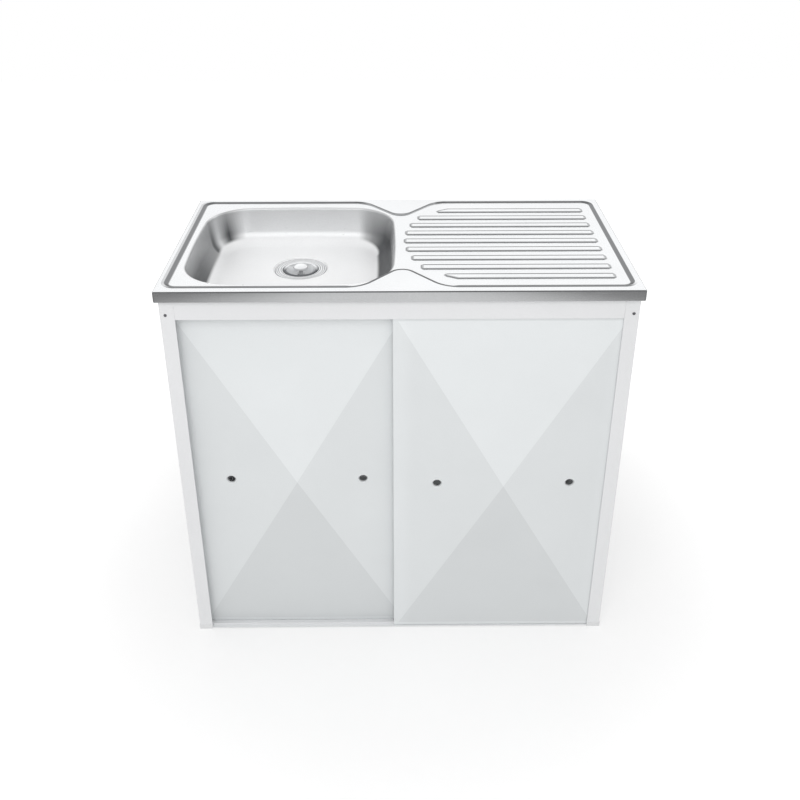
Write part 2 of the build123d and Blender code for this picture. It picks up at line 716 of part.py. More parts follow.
# --- sliding doors -------------------------------------------------------------------------------
# A door is made about its own middle, with its border in the plane y = 0 and its back at +y.
def creased_block(skin, half, low, high, back):
    """A shallow box whose front is a four-sided pyramid, set back by the skin's thickness."""
    shape = block((-half, half), (skin, back), (low, high))
    field = (crease_low, crease_high)
    middle = sum(field) / 2
    width = door_width - 2 * crease_side_band
    base = Pos(0, skin, middle) * Rot(90, 0, 0) * Rectangle(width, field[1] - field[0])
    return shape + loft([base, Vertex(0, skin - crease_rise, middle)], ruled=True)


def crease_plane(side):
    """A plane on the creased face at a finger hole: x along the door, z out of the face."""
    half = door_width / 2 - crease_side_band
    slope = crease_rise / half
    depth = -(half - finger_offset) * slope
    return Plane(origin=(side * finger_offset, depth, finger_height), x_dir=(0, 0, 1),
                 z_dir=(side * slope, -1, 0))


def finger_collar_ring():
    """The turned-in edge of a finger hole, about the local z axis, face at z = 0."""
    hole, roll, sheet = finger_hole_radius, finger_roll, cabinet_sheet
    return turned(
        (hole + roll, 0), (hole, -roll), (hole, -finger_collar), (hole + sheet, -finger_collar),
        (hole + sheet, -roll), (hole + roll, -sheet))


def door_panel():
    """The folded door: creased skin, folded edges with lips, and flanged finger holes."""
    half = door_width / 2
    sheet = cabinet_sheet
    fold = door_bottom + door_apron
    panel = creased_block(0, half, fold, door_top, door_depth)
    panel += block((-half, half), (0, sheet), (door_bottom, fold))
    panel -= creased_block(sheet, half - sheet, fold + sheet, door_top - sheet, door_depth - sheet)
    panel -= block((-half + door_lip, half - door_lip), (sheet, 2 * door_depth),
                   (fold + door_lip, door_top - door_lip))
    slot_half = bracket_length / 2 - bracket_slot_margin
    for side in (-1, 1):
        x = side * (half - roller_inset)
        panel -= block((x - slot_half, x + slot_half), (sheet, door_depth - sheet),
                       (door_bottom, fold + 2 * sheet))
        panel -= Pos(side * (half - guide_inset), roller_y, door_top) * Cylinder(guide_peg, 4 * sheet)
        face = crease_plane(side)
        panel -= face.location * Cylinder(finger_hole_radius + finger_roll, 4 * finger_roll)
        panel += face.location * finger_collar_ring()
    return single(panel)


def roller_bracket():
    """U-shaped bracket inside the door's lower corner, open downward, about the roller's axis."""
    width = door_depth - 2 * cabinet_sheet - 2 * bracket_seat_gap
    low = door_bottom + door_apron + cabinet_sheet
    y = (roller_y - width / 2, roller_y + width / 2)
    shape = block((-bracket_length / 2, bracket_length / 2), y, (low, low + bracket_height))
    shape = chamfer(shape.edges().filter_by(Axis.Y).group_by(Axis.Z)[-1], bracket_corner)
    shape -= block((-bracket_length, bracket_length), (y[0] + bracket_sheet, y[1] - bracket_sheet),
                   (0, low + bracket_height - 2 * bracket_sheet))
    return single(shape - Pos(0, roller_y, roller_z) * Rot(90, 0, 0) * Cylinder(axle_radius, 2 * width))


def roller_axle():
    """Axle across the bracket's two cheeks."""
    width = door_depth - 2 * cabinet_sheet - 2 * bracket_seat_gap
    return Pos(0, roller_y, roller_z) * Rot(90, 0, 0) * Cylinder(axle_radius, width)


def door_roller():
    """Grooved nylon wheel that runs on the sill's rail."""
    bore = axle_radius + roller_bore_gap
    half = roller_width / 2
    groove = track_rail_width / 2 + roller_groove_gap
    floor = roller_radius - roller_groove
    wheel = turned(
        (bore, -half), (roller_radius, -half), (roller_radius, -groove), (floor, -groove),
        (floor, groove), (roller_radius, groove), (roller_radius, half), (bore, half))
    return Pos(0, roller_y, roller_z) * Rot(90, 0, 0) * wheel


def top_guide(front, back):
    """Nylon guide on the door's top edge, with a peg down through the fold."""
    head = block((-guide_length / 2, guide_length / 2), (front, back), (door_top, door_top + guide_head))
    head = chamfer(head.edges().filter_by(Axis.Z), guide_corner)
    return head + Pos(0, roller_y, door_top - guide_peg_length / 2) * Cylinder(guide_peg, guide_peg_length)


def door_pieces(name, middle_x, door_y, wall_front, wall_back):
    """Everything that moves with one door, at its place, and its two rollers."""
    place = Pos(middle_x, door_y, 0)
    roller_x = door_width / 2 - roller_inset
    guide_x = door_width / 2 - guide_inset
    guide = top_guide(wall_front + track_wall_gap - door_y, wall_back - track_wall_gap - door_y)
    ends = (("left", -1), ("right", 1))
    pieces = {
        f"{name}_door_panel": place * door_panel(),
        f"{name}_door_guides": group([place * Pos(side * guide_x, 0, 0) * guide for _, side in ends]),
        f"{name}_door_brackets": group([place * Pos(side * roller_x, 0, 0) * roller_bracket()
                                        for _, side in ends]),
        f"{name}_door_axles": group([place * Pos(side * roller_x, 0, 0) * roller_axle()
                                     for _, side in ends]),
    }
    for end, side in ends:
        pieces[f"{name}_door_roller_{end}"] = place * Pos(side * roller_x, 0, 0) * door_roller()
    return pieces


# --- all the pieces ------------------------------------------------------------------------------
left_side = side_panel()
upper_track, middle_wall, rear_wall = top_door_track()
gasket, washer, locknut = waste_rings()

pieces = {
    "side_panel_left": left_side,
    "side_panel_right": mirror(left_side, Plane.YZ),
    "front_top_rail": front_top_rail(),
    "rear_top_rail": rear_top_rail(),
    "back_panel": back_panel(),
    "base_panel": base_panel(),
    "top_door_track": upper_track,
    "bottom_door_track": bottom_door_track(),
    "corner_gussets": corner_gussets(),
    "foot_caps": foot_caps(),
    "frame_screws": frame_screws(),
    "door_buffers": door_buffers(),
    "sink_deck": sink_deck(),
    "sink_bowl": sink_bowl(),
    "drainer_stiffener": drainer_stiffener(),
    "sink_clips": sink_clips(),
    "waste_body": waste_body(),
    "waste_gasket": gasket,
    "waste_washer": washer,
    "waste_locknut": locknut,
    "tailpiece": tailpiece(),
    "tailpiece_nut": tailpiece_nut(),
    "basket_cup": basket_cup(),
    "basket_knob": basket_knob(),
    "basket_stopper": basket_stopper(),
}
front_wall_back = front_y + 2 * cabinet_sheet
pieces |= door_pieces("left", -door_centre, rear_door_y, middle_wall[1], rear_wall[0])
pieces |= door_pieces("right", door_centre, front_door_y, front_wall_back, middle_wall[0])

os.makedirs("parts", exist_ok=True)
for node, shape in pieces.items():
    export_step(shape, f"parts/{node}.step")
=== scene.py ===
"""Looks of the kitchen sink unit: finely pressed sink top, coated cupboard, studio floor, light and camera.

Metres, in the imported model's own frame: the floor is z = 0, the doors face -Y and the bowl is at -X.
"""
import json
import math

import bmesh
import bpy
from mathutils import Matrix, Vector
from mathutils.geometry import tessellate_polygon


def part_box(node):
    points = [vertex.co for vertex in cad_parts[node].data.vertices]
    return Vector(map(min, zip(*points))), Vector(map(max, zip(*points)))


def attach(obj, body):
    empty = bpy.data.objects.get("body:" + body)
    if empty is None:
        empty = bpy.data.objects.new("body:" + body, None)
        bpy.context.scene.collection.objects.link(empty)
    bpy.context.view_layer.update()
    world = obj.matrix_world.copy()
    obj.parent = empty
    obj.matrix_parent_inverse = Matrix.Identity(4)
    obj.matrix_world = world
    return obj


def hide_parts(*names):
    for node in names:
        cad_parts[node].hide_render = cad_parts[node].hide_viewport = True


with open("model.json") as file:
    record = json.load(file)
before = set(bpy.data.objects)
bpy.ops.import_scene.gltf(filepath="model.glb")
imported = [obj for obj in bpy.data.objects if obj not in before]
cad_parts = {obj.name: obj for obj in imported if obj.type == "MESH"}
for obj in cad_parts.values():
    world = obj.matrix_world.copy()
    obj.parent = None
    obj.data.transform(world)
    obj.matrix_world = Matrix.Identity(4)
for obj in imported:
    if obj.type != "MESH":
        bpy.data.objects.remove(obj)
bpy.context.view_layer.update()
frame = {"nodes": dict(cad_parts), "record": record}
nodes = frame["nodes"]

# --- sizes of the sink top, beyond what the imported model's boxes tell ---------------------------------
SHEET = 0.001
RIM_SIDE, RIM_FRONT, RIM_BACK = 0.013, 0.022, 0.011     # width of the raised rim
GROOVE = 0.009                                          # plan width of the sloped step inside the rim
WELL_CORNER = 0.024
WAIST_X, WAIST_HALF, WAIST_REACH = 0.005, 0.080, 0.092  # raised lands between bowl and drainer
WAIST_FOOT, WAIST_TIP = 0.060, 0.028                    # radii at a land's foot and at its tip
LAND_FADE, LAND_END, LAND_STEEPNESS = 0.030, 0.105, 0.85    # the step is steeper along the lands
EDGE_ROUND = 0.0022                                     # folded edge over the skirt
OUTER_CORNER = 0.004
SKIRT_RETURN, RETURN_ROUND = 0.005, 0.0013
BOWL_BOW, BOWL_CORNER = 0.008, 0.092
BOWL_DRAFT = math.radians(8)
BOWL_FLOOR_ROUND, BOWL_EDGE_ROUND = 0.036, 0.005
WELD_MARGIN = 0.002
DISH_RADIUS, DISH_SLOPE, DISH_DEPTH, HOLE_RADIUS = 0.0592, 0.0028, 0.003, 0.0425
RIB_COUNT, RIB_WIDTH, RIB_HEIGHT, RIB_SLOPE, RIB_CORNER = 9, 0.021, 0.0018, 0.0015, 0.0052
RIB_FIRST_Y, RIB_LAST_Y, RIB_LEFT, RIB_RIGHT = 0.1745, -0.1695, 0.011, 0.413
RIB_ARC, RIB_TAPER = 0.279, 0.040       # arc of the ribs' left ends, and slant of the first and last
GUARD = 0.0004          # flat strip beside each pressed step, which keeps the flats' shading level

# --- how finely rounded shapes are divided ---------------------------------------------------------------
BOW_TURN, FINE_TURN, RIM_TURN, RIB_TURN = (math.radians(degrees) for degrees in (0.6, 4, 10, 12))
SMALL_STEPS, ROUND_STEPS, SLOPE_STEPS, FILLET_STEPS = 4, 8, 10, 20
TURN_COUNT = 120        # points round a turned piece

# --- shade painted on the surfaces, for dark reflections and shadows, from 0 for bright to 1 for dark ------
RIM_LINE, DECK_LINE = 0.0048, 0.0008    # widths of the painted dark lines beside the step round the deck
RIB_TOP_LINE, RIB_FOOT_LINE = 0.0030, 0.0015
LINE_REACH = 0.3                        # share of a slope that a painted dark line runs down
MOST_SHADE = 0.82                        # a slope's painted shade at its darkest
STEP_SHADE, OPEN_SHADE, SIDE_SHADE = 0.65, 0.15, 2.0       # painted shade on the step round the deck, and more off the lands
FRONT_LINE_SHADE, LAND_LINE_SHADE, LEFT_LINE_SHADE = 0.95, 1.6, 0.3    # painted dark line beside that step
# painted shade on a rib's sides, and the least and the end share of the painted line along its edges
RIB_SHADE, RIB_LINE_LEAST, RIB_LINE_END = 0.85, 0.1, 0.45
FOLD_SHADE, FOLD_SPREAD = 0.88, 2.0      # painted dark reflection on the front of the folded edge over the skirt
WALL_START, WALL_BLEND = 0.20, 0.13     # shares of the floor's fillet where the wall's tone sets in
WALL_SIDE, WALL_BACK = 0.12, 0.35       # how much later it sets in at the left and at the back
WALL_MIDDLE, WALL_CONTRAST = 0.25, 0.5  # tone that is the same at every height, and change of the others
FILLET_RISE = 0.2                       # share of the wall's height that the fillet takes in its tone
MOUTH_SHADE, RING_SHADE, FLANGE_LIP_SHADE = 0.3, 0.8, 0.9                     # painted shade at the strainer's mouth, in its turned rings and under its outer edge
CRESCENT_SHADE, CRESCENT_MIDDLE, CRESCENT_SLOPE = 0.95, 0.6, 1.6     # painted shadow on the front half of the basket's ring
# painted shade on the basket's outer lip
BASKET_LIP_SHADE = 0.3
COLLAR_SHADE, ROLL_SHADE = 1.0, 0.75      # painted shade inside a finger hole
SHADE_EVEN, SHADE_UPPER = 0.7, 0.3        # share of the roll's painted shade all round, and more of it higher up

# Brightness of the bowl's wall by the way it faces, painted as bands of reflected light and dark, in degrees
# anticlockwise from +X.
WALL_BANDS = [(-180, 0.17), (-150, 0.20), (-125, 0.38), (-112, 0.58), (-98, 1.0), (-78, 1.0), (-64, 0.65),
              (-48, 0.15), (-28, 0.80), (-12, 0.20), (-7, 0.28), (-3, 0.48), (0, 0.26), (5, 0.10), (30, 0.05),
              (60, 0.25), (90, 0.80), (120, 0.30), (180, 0.17)]

# --- sizes of the strainer ---------------------------------------------------------------------------------
BODY_RADIUS, BODY_BORE, BODY_DEPTH, BODY_BEVEL, BODY_WALL = 0.040, 0.0388, 0.040, 0.004, 0.0012
FLANGE_RADIUS, FLANGE_TOP = 0.056, 0.0015                   # the top is this high over the flange's seat
RINGS = (0.0425, 0.0475, 0.0515)                            # radii of the rings turned in the flange
RING_HALF, RING_BED, RING_DEPTH = 0.0012, 0.0004, 0.0006    # half widths at a ring's top and bottom
MOUTH_FALL, RING_FALL, CROWN_FALL = 0.0002, 0.0001, 0.0005  # depths of small falls under the flange's top
CROWN_WIDTH, LIP_WIDTH, LIP_HEIGHT = 0.0022, 0.0010, 0.0006     # rounding of the flange's outer edge
SPIGOT_RADIUS, SPIGOT_BORE = 0.024, 0.022
CUP_RING, CUP_MOUTH, CUP_FOOT, CUP_DEPTH, CUP_LIP = 0.0368, 0.031, 0.028, 0.024, 0.003
CUP_SHEET = SHEET * 0.8
INNER_ROLL, OUTER_ROLL = 0.0012, 0.0014                     # radii of the rolls at the ring's two edges
NECK_WIDTH, NECK_DEPTH = 0.0005, 0.002                      # where the cup's wall meets the inner roll
CUP_SLOTS, SLOT_START, SLOT_END, SLOT_CELLS = 10, 0.010, 0.024, 3
STEM, KNOB_RADIUS, KNOB_DISH = 0.004, 0.016, 0.0008

# The cup's floor and its bend into the wall: radius, height over the floor and painted shade, darker towards
# the bend.
CUP_BEND = [(STEM, 0.0, 0.0), (SLOT_START, 0.0, 0.0), (SLOT_END, 0.0, 0.1), (CUP_FOOT - 0.001, 0.0, 0.3),
            (CUP_FOOT + 0.0003, 0.001, 0.3), (CUP_FOOT + 0.001, 0.004, 0.0)]

# The knob from its dish over its rim to the stem: radius, depth under its top and painted shade, most on its
# rim's edge and underneath it.
KNOB_PROFILE = [(0.002, KNOB_DISH, 0.0), (0.007, KNOB_DISH * 0.8, 0.0), (0.0105, 0.0, 0.0),
                (0.0125, 0.0001, 0.0), (0.0140, 0.0009, 0.1), (0.0150, 0.0022, 0.6),
                (KNOB_RADIUS, 0.0032, 0.2), (KNOB_RADIUS - 0.0002, 0.0040, 0.3),
                (0.0130, 0.0048, 0.6), (0.0075, 0.0058, 0.6), (STEM, 0.0075, 0.4)]

# --- sizes of the finger holes and screws ------------------------------------------------------------------
FINGER_OFFSET, FINGER_ROLL, FINGER_HOLE, FINGER_COLLAR = 0.137, 0.0037, 0.0078, 0.0058
ROLL_PROUD, ROLL_FOOT, ROLL_SHEET = 0.0001, 0.0004, 0.0003  # how the roll ends on the door's face
CREASE_RISE, CREASE_BORDER = 0.006, 0.010                   # the door's face, which leans to its creases
SCREW_HEAD, SCREW_SHANK, SCREW_RISE, SCREW_TIP, SCREW_POINT = 0.003, 0.0016, 0.0016, 0.0024, 0.0004
SCREW_BRIM = 0.35                                           # height of the head's edge, of its rise
CROSS_HALF, CROSS_REACH, CROSS_DEPTH = 0.0006, 0.62, 0.4    # reach and depth are shares of head and rise
POLE = 0.0001                                               # radius of the ring at a closed end

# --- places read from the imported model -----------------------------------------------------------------
deck_low, deck_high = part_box("sink_deck")
bowl_low, bowl_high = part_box("sink_bowl")
flange_low, flange_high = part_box("waste_body")
TOP, DECK = deck_high.z, bowl_high.z
HALF_X, HALF_Y, SKIRT_LOW = deck_high.x, deck_high.y, deck_low.z
BOWL_RING = BOWL_EDGE_ROUND + WELD_MARGIN
BOWL_CENTRE = ((bowl_low + bowl_high) / 2).to_2d()
BOWL_HALF_X = (bowl_high.x - bowl_low.x) / 2 - BOWL_RING
BOWL_HALF_Y = (bowl_high.y - bowl_low.y) / 2 - BOWL_RING
BOWL_FLOOR = bowl_low.z + SHEET + DISH_DEPTH
WASTE = ((flange_low + flange_high) / 2).to_2d()


# --- outlines in plan ------------------------------------------------------------------------------------
def turned(vector, angle):
    """A plan vector turned anticlockwise."""
    c, s = math.cos(angle), math.sin(angle)
    return Vector((vector.x * c - vector.y * s, vector.x * s + vector.y * c))


def arc(centre, radius, start, end, step=FINE_TURN):
    """Points along an arc about a centre, each with its outward normal."""
    count = max(2, math.ceil(abs(end - start) / step))
    points = []
    for k in range(count + 1):
        normal = turned(Vector((1, 0)), start + (end - start) * k / count)
        points.append((centre + normal * radius, normal))
    return points


def rounded(corners, radii, step=FINE_TURN):
    """Points round a polygon with rounded corners, anticlockwise, each with its outward normal."""
    ring = []
    count = len(corners)
    for i, radius in enumerate(radii):
        before, here, after = (Vector(corners[(i + k) % count]) for k in (-1, 0, 1))
        into = (here - before).normalized()
        out = (after - here).normalized()
        turn = math.atan2(into.x * out.y - into.y * out.x, into.dot(out))
        side = 1 if turn > 0 else -1
        start = here - into * radius * math.tan(abs(turn) / 2)
        outward = Vector((into.y, -into.x))
        centre = start - outward * side * radius
        steps = max(2, math.ceil(abs(turn) / step))
        for k in range(steps + 1):
            normal = turned(outward, turn * k / steps)
            ring.append((centre + normal * side * radius, normal))
    return ring


def moved(ring, outward):
    """Plan points of a ring, moved outward."""
    return [point + normal * outward for point, normal in ring]


def circle(centre, radius):
    """Plan points round a circle."""
    return [centre + turned(Vector((radius, 0)), math.tau * k / TURN_COUNT) for k in range(TURN_COUNT)]


def on_land(point):
    """1 along the raised lands between bowl and drainer, fading to 0 beside them."""
    return max(0.0, min(1.0, (LAND_END - abs(point.x - WAIST_X)) / LAND_FADE))


def steeper_lands(ring):
    """An outline with shorter normals along the lands, so that steps made from it are narrower there."""
    return [(point, normal * (1 - LAND_STEEPNESS * on_land(point))) for point, normal in ring]


def rectangle(half_x, half_y):
    """Corners of a centred rectangle, anticlockwise."""
    return [(-half_x, -half_y), (half_x, -half_y), (half_x, half_y), (-half_x, half_y)]


def well_outline():
    """Corners and radii of the sunken deck, with a raised land reaching in from front and back."""
    side, front, back = HALF_X - RIM_SIDE, RIM_FRONT - HALF_Y, HALF_Y - RIM_BACK
    corners = [
        (-side, front), (WAIST_X - WAIST_HALF, front), (WAIST_X, front + WAIST_REACH),
        (WAIST_X + WAIST_HALF, front), (side, front), (side, back), (WAIST_X + WAIST_HALF, back),
        (WAIST_X, back - WAIST_REACH), (WAIST_X - WAIST_HALF, back), (-side, back),
    ]
    return corners, [WELL_CORNER, WAIST_FOOT, WAIST_TIP, WAIST_FOOT, WELL_CORNER] * 2


def rib_outline(index):
    """Corners and radii of one drainer rib; the first and last have a slanted left end."""
    pitch = (RIB_FIRST_Y - RIB_LAST_Y) / (RIB_COUNT - 1)
    y = RIB_FIRST_Y - index * pitch
    reach = (index - (RIB_COUNT - 1) / 2) * pitch
    left = RIB_LEFT + RIB_ARC - math.sqrt(RIB_ARC ** 2 - reach ** 2)
    low, high = y - RIB_WIDTH / 2, y + RIB_WIDTH / 2
    left_low = left + (RIB_TAPER if index == RIB_COUNT - 1 else 0)
    left_high = left + (RIB_TAPER if index == 0 else 0)
    return [(left_low, low), (RIB_RIGHT, low), (RIB_RIGHT, high), (left_high, high)], [RIB_CORNER] * 4


def bowl_outline():
    """The bowl's mouth: four sides that bow outward, joined by round corners."""
    chord_x, chord_y = BOWL_HALF_X - BOWL_BOW, BOWL_HALF_Y - BOWL_BOW
    front_radius = (chord_x ** 2 + BOWL_BOW ** 2) / (2 * BOWL_BOW)
    right_radius = (chord_y ** 2 + BOWL_BOW ** 2) / (2 * BOWL_BOW)
    front_centre = Vector((0, front_radius - BOWL_HALF_Y))
    right_centre = Vector((BOWL_HALF_X - right_radius, 0))
    span = right_centre - front_centre
    a, b = front_radius - BOWL_CORNER, right_radius - BOWL_CORNER
    along = (a * a - b * b + span.length_squared) / (2 * span.length)
    aside = math.sqrt(a * a - along * along)
    corner = front_centre + span.normalized() * along + turned(span.normalized(), math.pi / 2) * aside
    first = math.atan2(*(corner - front_centre).yx)
    second = math.atan2(*(corner - right_centre).yx)
    quarter = arc(front_centre, front_radius, -math.pi / 2, first, BOW_TURN)
    quarter += arc(corner, BOWL_CORNER, first, second)[1:]
    quarter += arc(right_centre, right_radius, second, 0, BOW_TURN)[1:]
    flip = Vector((1, -1))
    half = quarter + [(point * flip, normal * flip) for point, normal in reversed(quarter[:-1])]
    ring = half[:-1] + [(-point, -normal) for point, normal in half[:-1]]
    return [(BOWL_CENTRE + point, normal) for point, normal in ring]


# --- meshes made of rings --------------------------------------------------------------------------------
class Skin:
    """A mesh built from closed rings of points, with a value of painted shade on each vertex."""

    def __init__(self):
        self.points, self.faces, self.painted_shade = [], [], []

    def ring(self, plan, z, painted_shade=0.0):
        """Adds a closed level ring of points, with one painted shade or a list of them; returns their
        numbers.
        """
        first = len(self.points)
        self.points += [(p.x, p.y, z) for p in plan]
        self.painted_shade += painted_shade if isinstance(painted_shade, list) else [painted_shade] * len(plan)
        return list(range(first, len(self.points)))

    def band(self, inner, outer):
        """Quads between two rings; the normals face up where the second ring is the outer one."""
        count = len(inner)
        for i in range(count):
            j = (i + 1) % count
            self.faces.append((inner[i], outer[i], outer[j], inner[j]))

    def flat(self, outer, holes=(), side=1):
        """Triangles that fill a level ring with holes in it, facing up, or down where side is -1."""
        loops = [[Vector(self.points[i]) for i in loop] for loop in [outer, *holes]]
        numbers = [i for loop in [outer, *holes] for i in loop]
        for triangle in tessellate_polygon(loops):
            face = [numbers[i] for i in triangle]
            a, b, c = (Vector(self.points[i]) for i in face)
            if (b - a).cross(c - a).z * side < 0:
                face.reverse()
            self.faces.append(tuple(face))

    def placed(self, place, outward):
        """Turns the skin's +Z to point outward, and moves its origin to a place."""
        matrix = Matrix.Translation(place) @ outward.to_track_quat("Z", "Y").to_matrix().to_4x4()
        self.points = [tuple(matrix @ Vector(point)) for point in self.points]
        return self

    def join(self, loops):
        """Bands between rings given in order; returns the first and the last ring."""
        for first, second in zip(loops, loops[1:]):
            self.band(first, second)
        return loops[0], loops[-1]

    def sweep(self, outline, stations, inside=None):
        """Joined rings at (inward, z, painted_shade) stations; the painted shade may be a function of a point
        and its normal.

        Rings inward of the outline follow inside, if it is given, which is the outline with other normals.
        """
        loops = []
        for inward, z, painted_shade in stations:
            shades = [painted_shade(point, normal) for point, normal in outline] if callable(painted_shade) else painted_shade
            plan = moved(inside if inside and inward > 0 else outline, -inward)
            loops.append(self.ring(plan, z, shades))
        return self.join(loops)

    def turn(self, centre, stations, closed=False):
        """Joined rings at (radius, z, painted_shade) stations about an upright axis, up inside and down
        outside.

        The painted shade may be a function of the direction from the axis.
        """
        loops = []
        for radius, z, painted_shade in stations:
            plan = circle(centre, radius)
            shades = [painted_shade((point - centre).normalized()) for point in plan] if callable(painted_shade) else painted_shade
            loops.append(self.ring(plan, z, shades))
        return self.join(loops + loops[:1] if closed else loops)

    def object(self, name, look):
        """The finished mesh as a smooth-shaded object, sharp along its open edges."""
        mesh = bpy.data.meshes.new(name)
        mesh.from_pydata(self.points, [], self.faces)
        layer = mesh.attributes.new("painted_shade", "FLOAT", "POINT")
        layer.data.foreach_set("value", self.painted_shade)
        mesh.shade_smooth()
        form = bmesh.new()
        form.from_mesh(mesh)
        for edge in form.edges:
            edge.smooth = not edge.is_boundary
        form.to_mesh(mesh)
        form.free()
        mesh.materials.append(look)
        made = bpy.data.objects.new(name, mesh)
        bpy.context.scene.collection.objects.link(made)
        return made


def thicken(piece, thickness=SHEET):
    """Gives a skin its sheet thickness, on its hidden side."""
    solid = piece.modifiers.new("sheet", "SOLIDIFY")
    solid.thickness = thickness
    solid.offset = -1
    solid.use_even_offset = True
    return piece


# --- profiles, made of stations --------------------------------------------------------------------------
def shares(count):
    """Even shares of a way, from 0 to 1."""
    return [k / count for k in range(count + 1)]


def eased(rise, t):
    """How much of a rise an S-shaped slope has made at a share t of its way."""
    return rise * t * t * (3 - 2 * t)


def rounding(radius):
    """Pairs of offsets over a quarter turn: the first grows from 0 to the radius as the second falls to 0."""
    angles = [math.pi / 2 * t for t in shares(SMALL_STEPS)]
    return [(radius * (1 - math.cos(angle)), radius * (1 - math.sin(angle))) for angle in angles]


def pressed_step(inner, outer, z_inner, z_outer, slope, line, inner_width, outer_width):
    """Stations of an S-shaped step between two level surfaces; the inward distances fall from inner to outer.

    slope and line give the painted shade of the slope and of a strip on the level surface on each side, which
    has inner_width or outer_width.
    """
    def shade(t):
        edge = max(1 - t / LINE_REACH, 1 - (1 - t) / LINE_REACH)
        return lambda point, normal: min(MOST_SHADE, max(4 * t * (1 - t) * slope(point, normal),
                                                        edge * line(point, normal)))

    stations = [(inner + inner_width + GUARD, z_inner, 0.0), (inner + inner_width, z_inner, line)]
    for t in shares(SLOPE_STEPS):
        stations.append((inner + (outer - inner) * t, z_inner + eased(z_outer - z_inner, t), shade(t)))
    return stations + [(outer - outer_width, z_outer, line), (outer - outer_width - GUARD, z_outer, 0.0)]


# --- the sink top ----------------------------------------------------------------------------------------
def front_only(level):
    """A painted shade that shows only where an outline faces the front."""
    return lambda point, normal: level * max(0.0, -normal.y)


def groove_slope(point, normal):
    """Painted shade on the step round the deck, for its dark reflections, darkest at its sides."""
    off_land = 1 - on_land(point)
    return STEP_SHADE + OPEN_SHADE * off_land + SIDE_SHADE * abs(normal.x) * off_land


def groove_line(point, normal):
    """Painted shade beside the step: at the front, and a little along the left side."""
    front, land = max(0.0, -normal.y), on_land(point)
    at_front = FRONT_LINE_SHADE * (front ** 3 * (1 - land) + min(1.0, LAND_LINE_SHADE * front) * land)
    at_left = -LEFT_LINE_SHADE * normal.x * (1 - land)
    return max(at_front, at_left, 0.0)


def rib_slope(point, normal):
    """A rib's sides have an even painted shade."""
    return RIB_SHADE


def rib_line(point, normal):
    """Painted shade along a rib's edge, most at its back, where the slope is out of the light."""
    return max(RIB_LINE_LEAST, normal.y, RIB_LINE_END * abs(normal.x))


def folded_edge():
    """Stations from the rim, over the rolled edge, down the skirt and in along its return."""
    stations = [(EDGE_ROUND + GUARD, TOP, 0.0)]
    # The front of the rolled edge gets a painted dark reflection.
    for t in shares(ROUND_STEPS):
        angle = math.pi / 2 * t
        stations.append((EDGE_ROUND * (1 - math.sin(angle)), TOP - EDGE_ROUND * (1 - math.cos(angle)),
                         front_only(min(FOLD_SHADE, FOLD_SPREAD * math.sin(2 * angle)))))
    stations += [(inward, SKIRT_LOW + up, 0.0) for inward, up in rounding(RETURN_ROUND)]
    return stations + [(SKIRT_RETURN, SKIRT_LOW, 0.0)]


def deck_skin(look):
    """Rim, sunken deck with its ribs, and the folded skirt, in one sheet."""
    skin = Skin()
    outline = rounded(rectangle(HALF_X, HALF_Y), [OUTER_CORNER] * 4, RIM_TURN)
    rim_edge, _ = skin.sweep(outline, folded_edge())
    step = pressed_step(GROOVE, 0, DECK, TOP, groove_slope, groove_line, DECK_LINE, RIM_LINE)
    well = rounded(*well_outline())
    deck_edge, rim_well = skin.sweep(well, step, inside=steeper_lands(well))
    skin.flat(rim_edge, [rim_well])
    holes = [skin.ring(moved(bowl_outline(), BOWL_RING), DECK)]
    step = pressed_step(RIB_SLOPE, 0, DECK + RIB_HEIGHT, DECK, rib_slope, rib_line, RIB_TOP_LINE,
                        RIB_FOOT_LINE)
    for index in range(RIB_COUNT):
        top, foot = skin.sweep(rounded(*rib_outline(index), RIB_TURN), step)
        skin.flat(top)
        holes.append(foot)
    skin.flat(deck_edge, holes)
    return thicken(skin.object("deck_skin", look))


def wall_shade(height, climb=1.0, fade=1.0):
    """Painted shade of the bowl's wall: bands of reflected light and dark by the way it faces, which differ
    more low down than at the rim.

    climb is the share of the floor's fillet that lies below, and fade the most that the tone may weigh.
    """
    def shade(point, normal):
        facing = math.degrees(math.atan2(-normal.y, -normal.x))
        for (start, low), (end, high) in zip(WALL_BANDS, WALL_BANDS[1:]):
            if facing <= end:
                break
        painted_shade = 1 - low - (high - low) * (facing - start) / (end - start)
        start = WALL_START - WALL_SIDE * normal.x + WALL_BACK * max(0.0, normal.y)
        weight = max(0.0, min(fade, (climb - start) / WALL_BLEND))
        tone = painted_shade + (painted_shade - WALL_MIDDLE) * WALL_CONTRAST * (1 - 2 * height)
        return max(0.0, min(1.0, tone)) * weight

    return shade


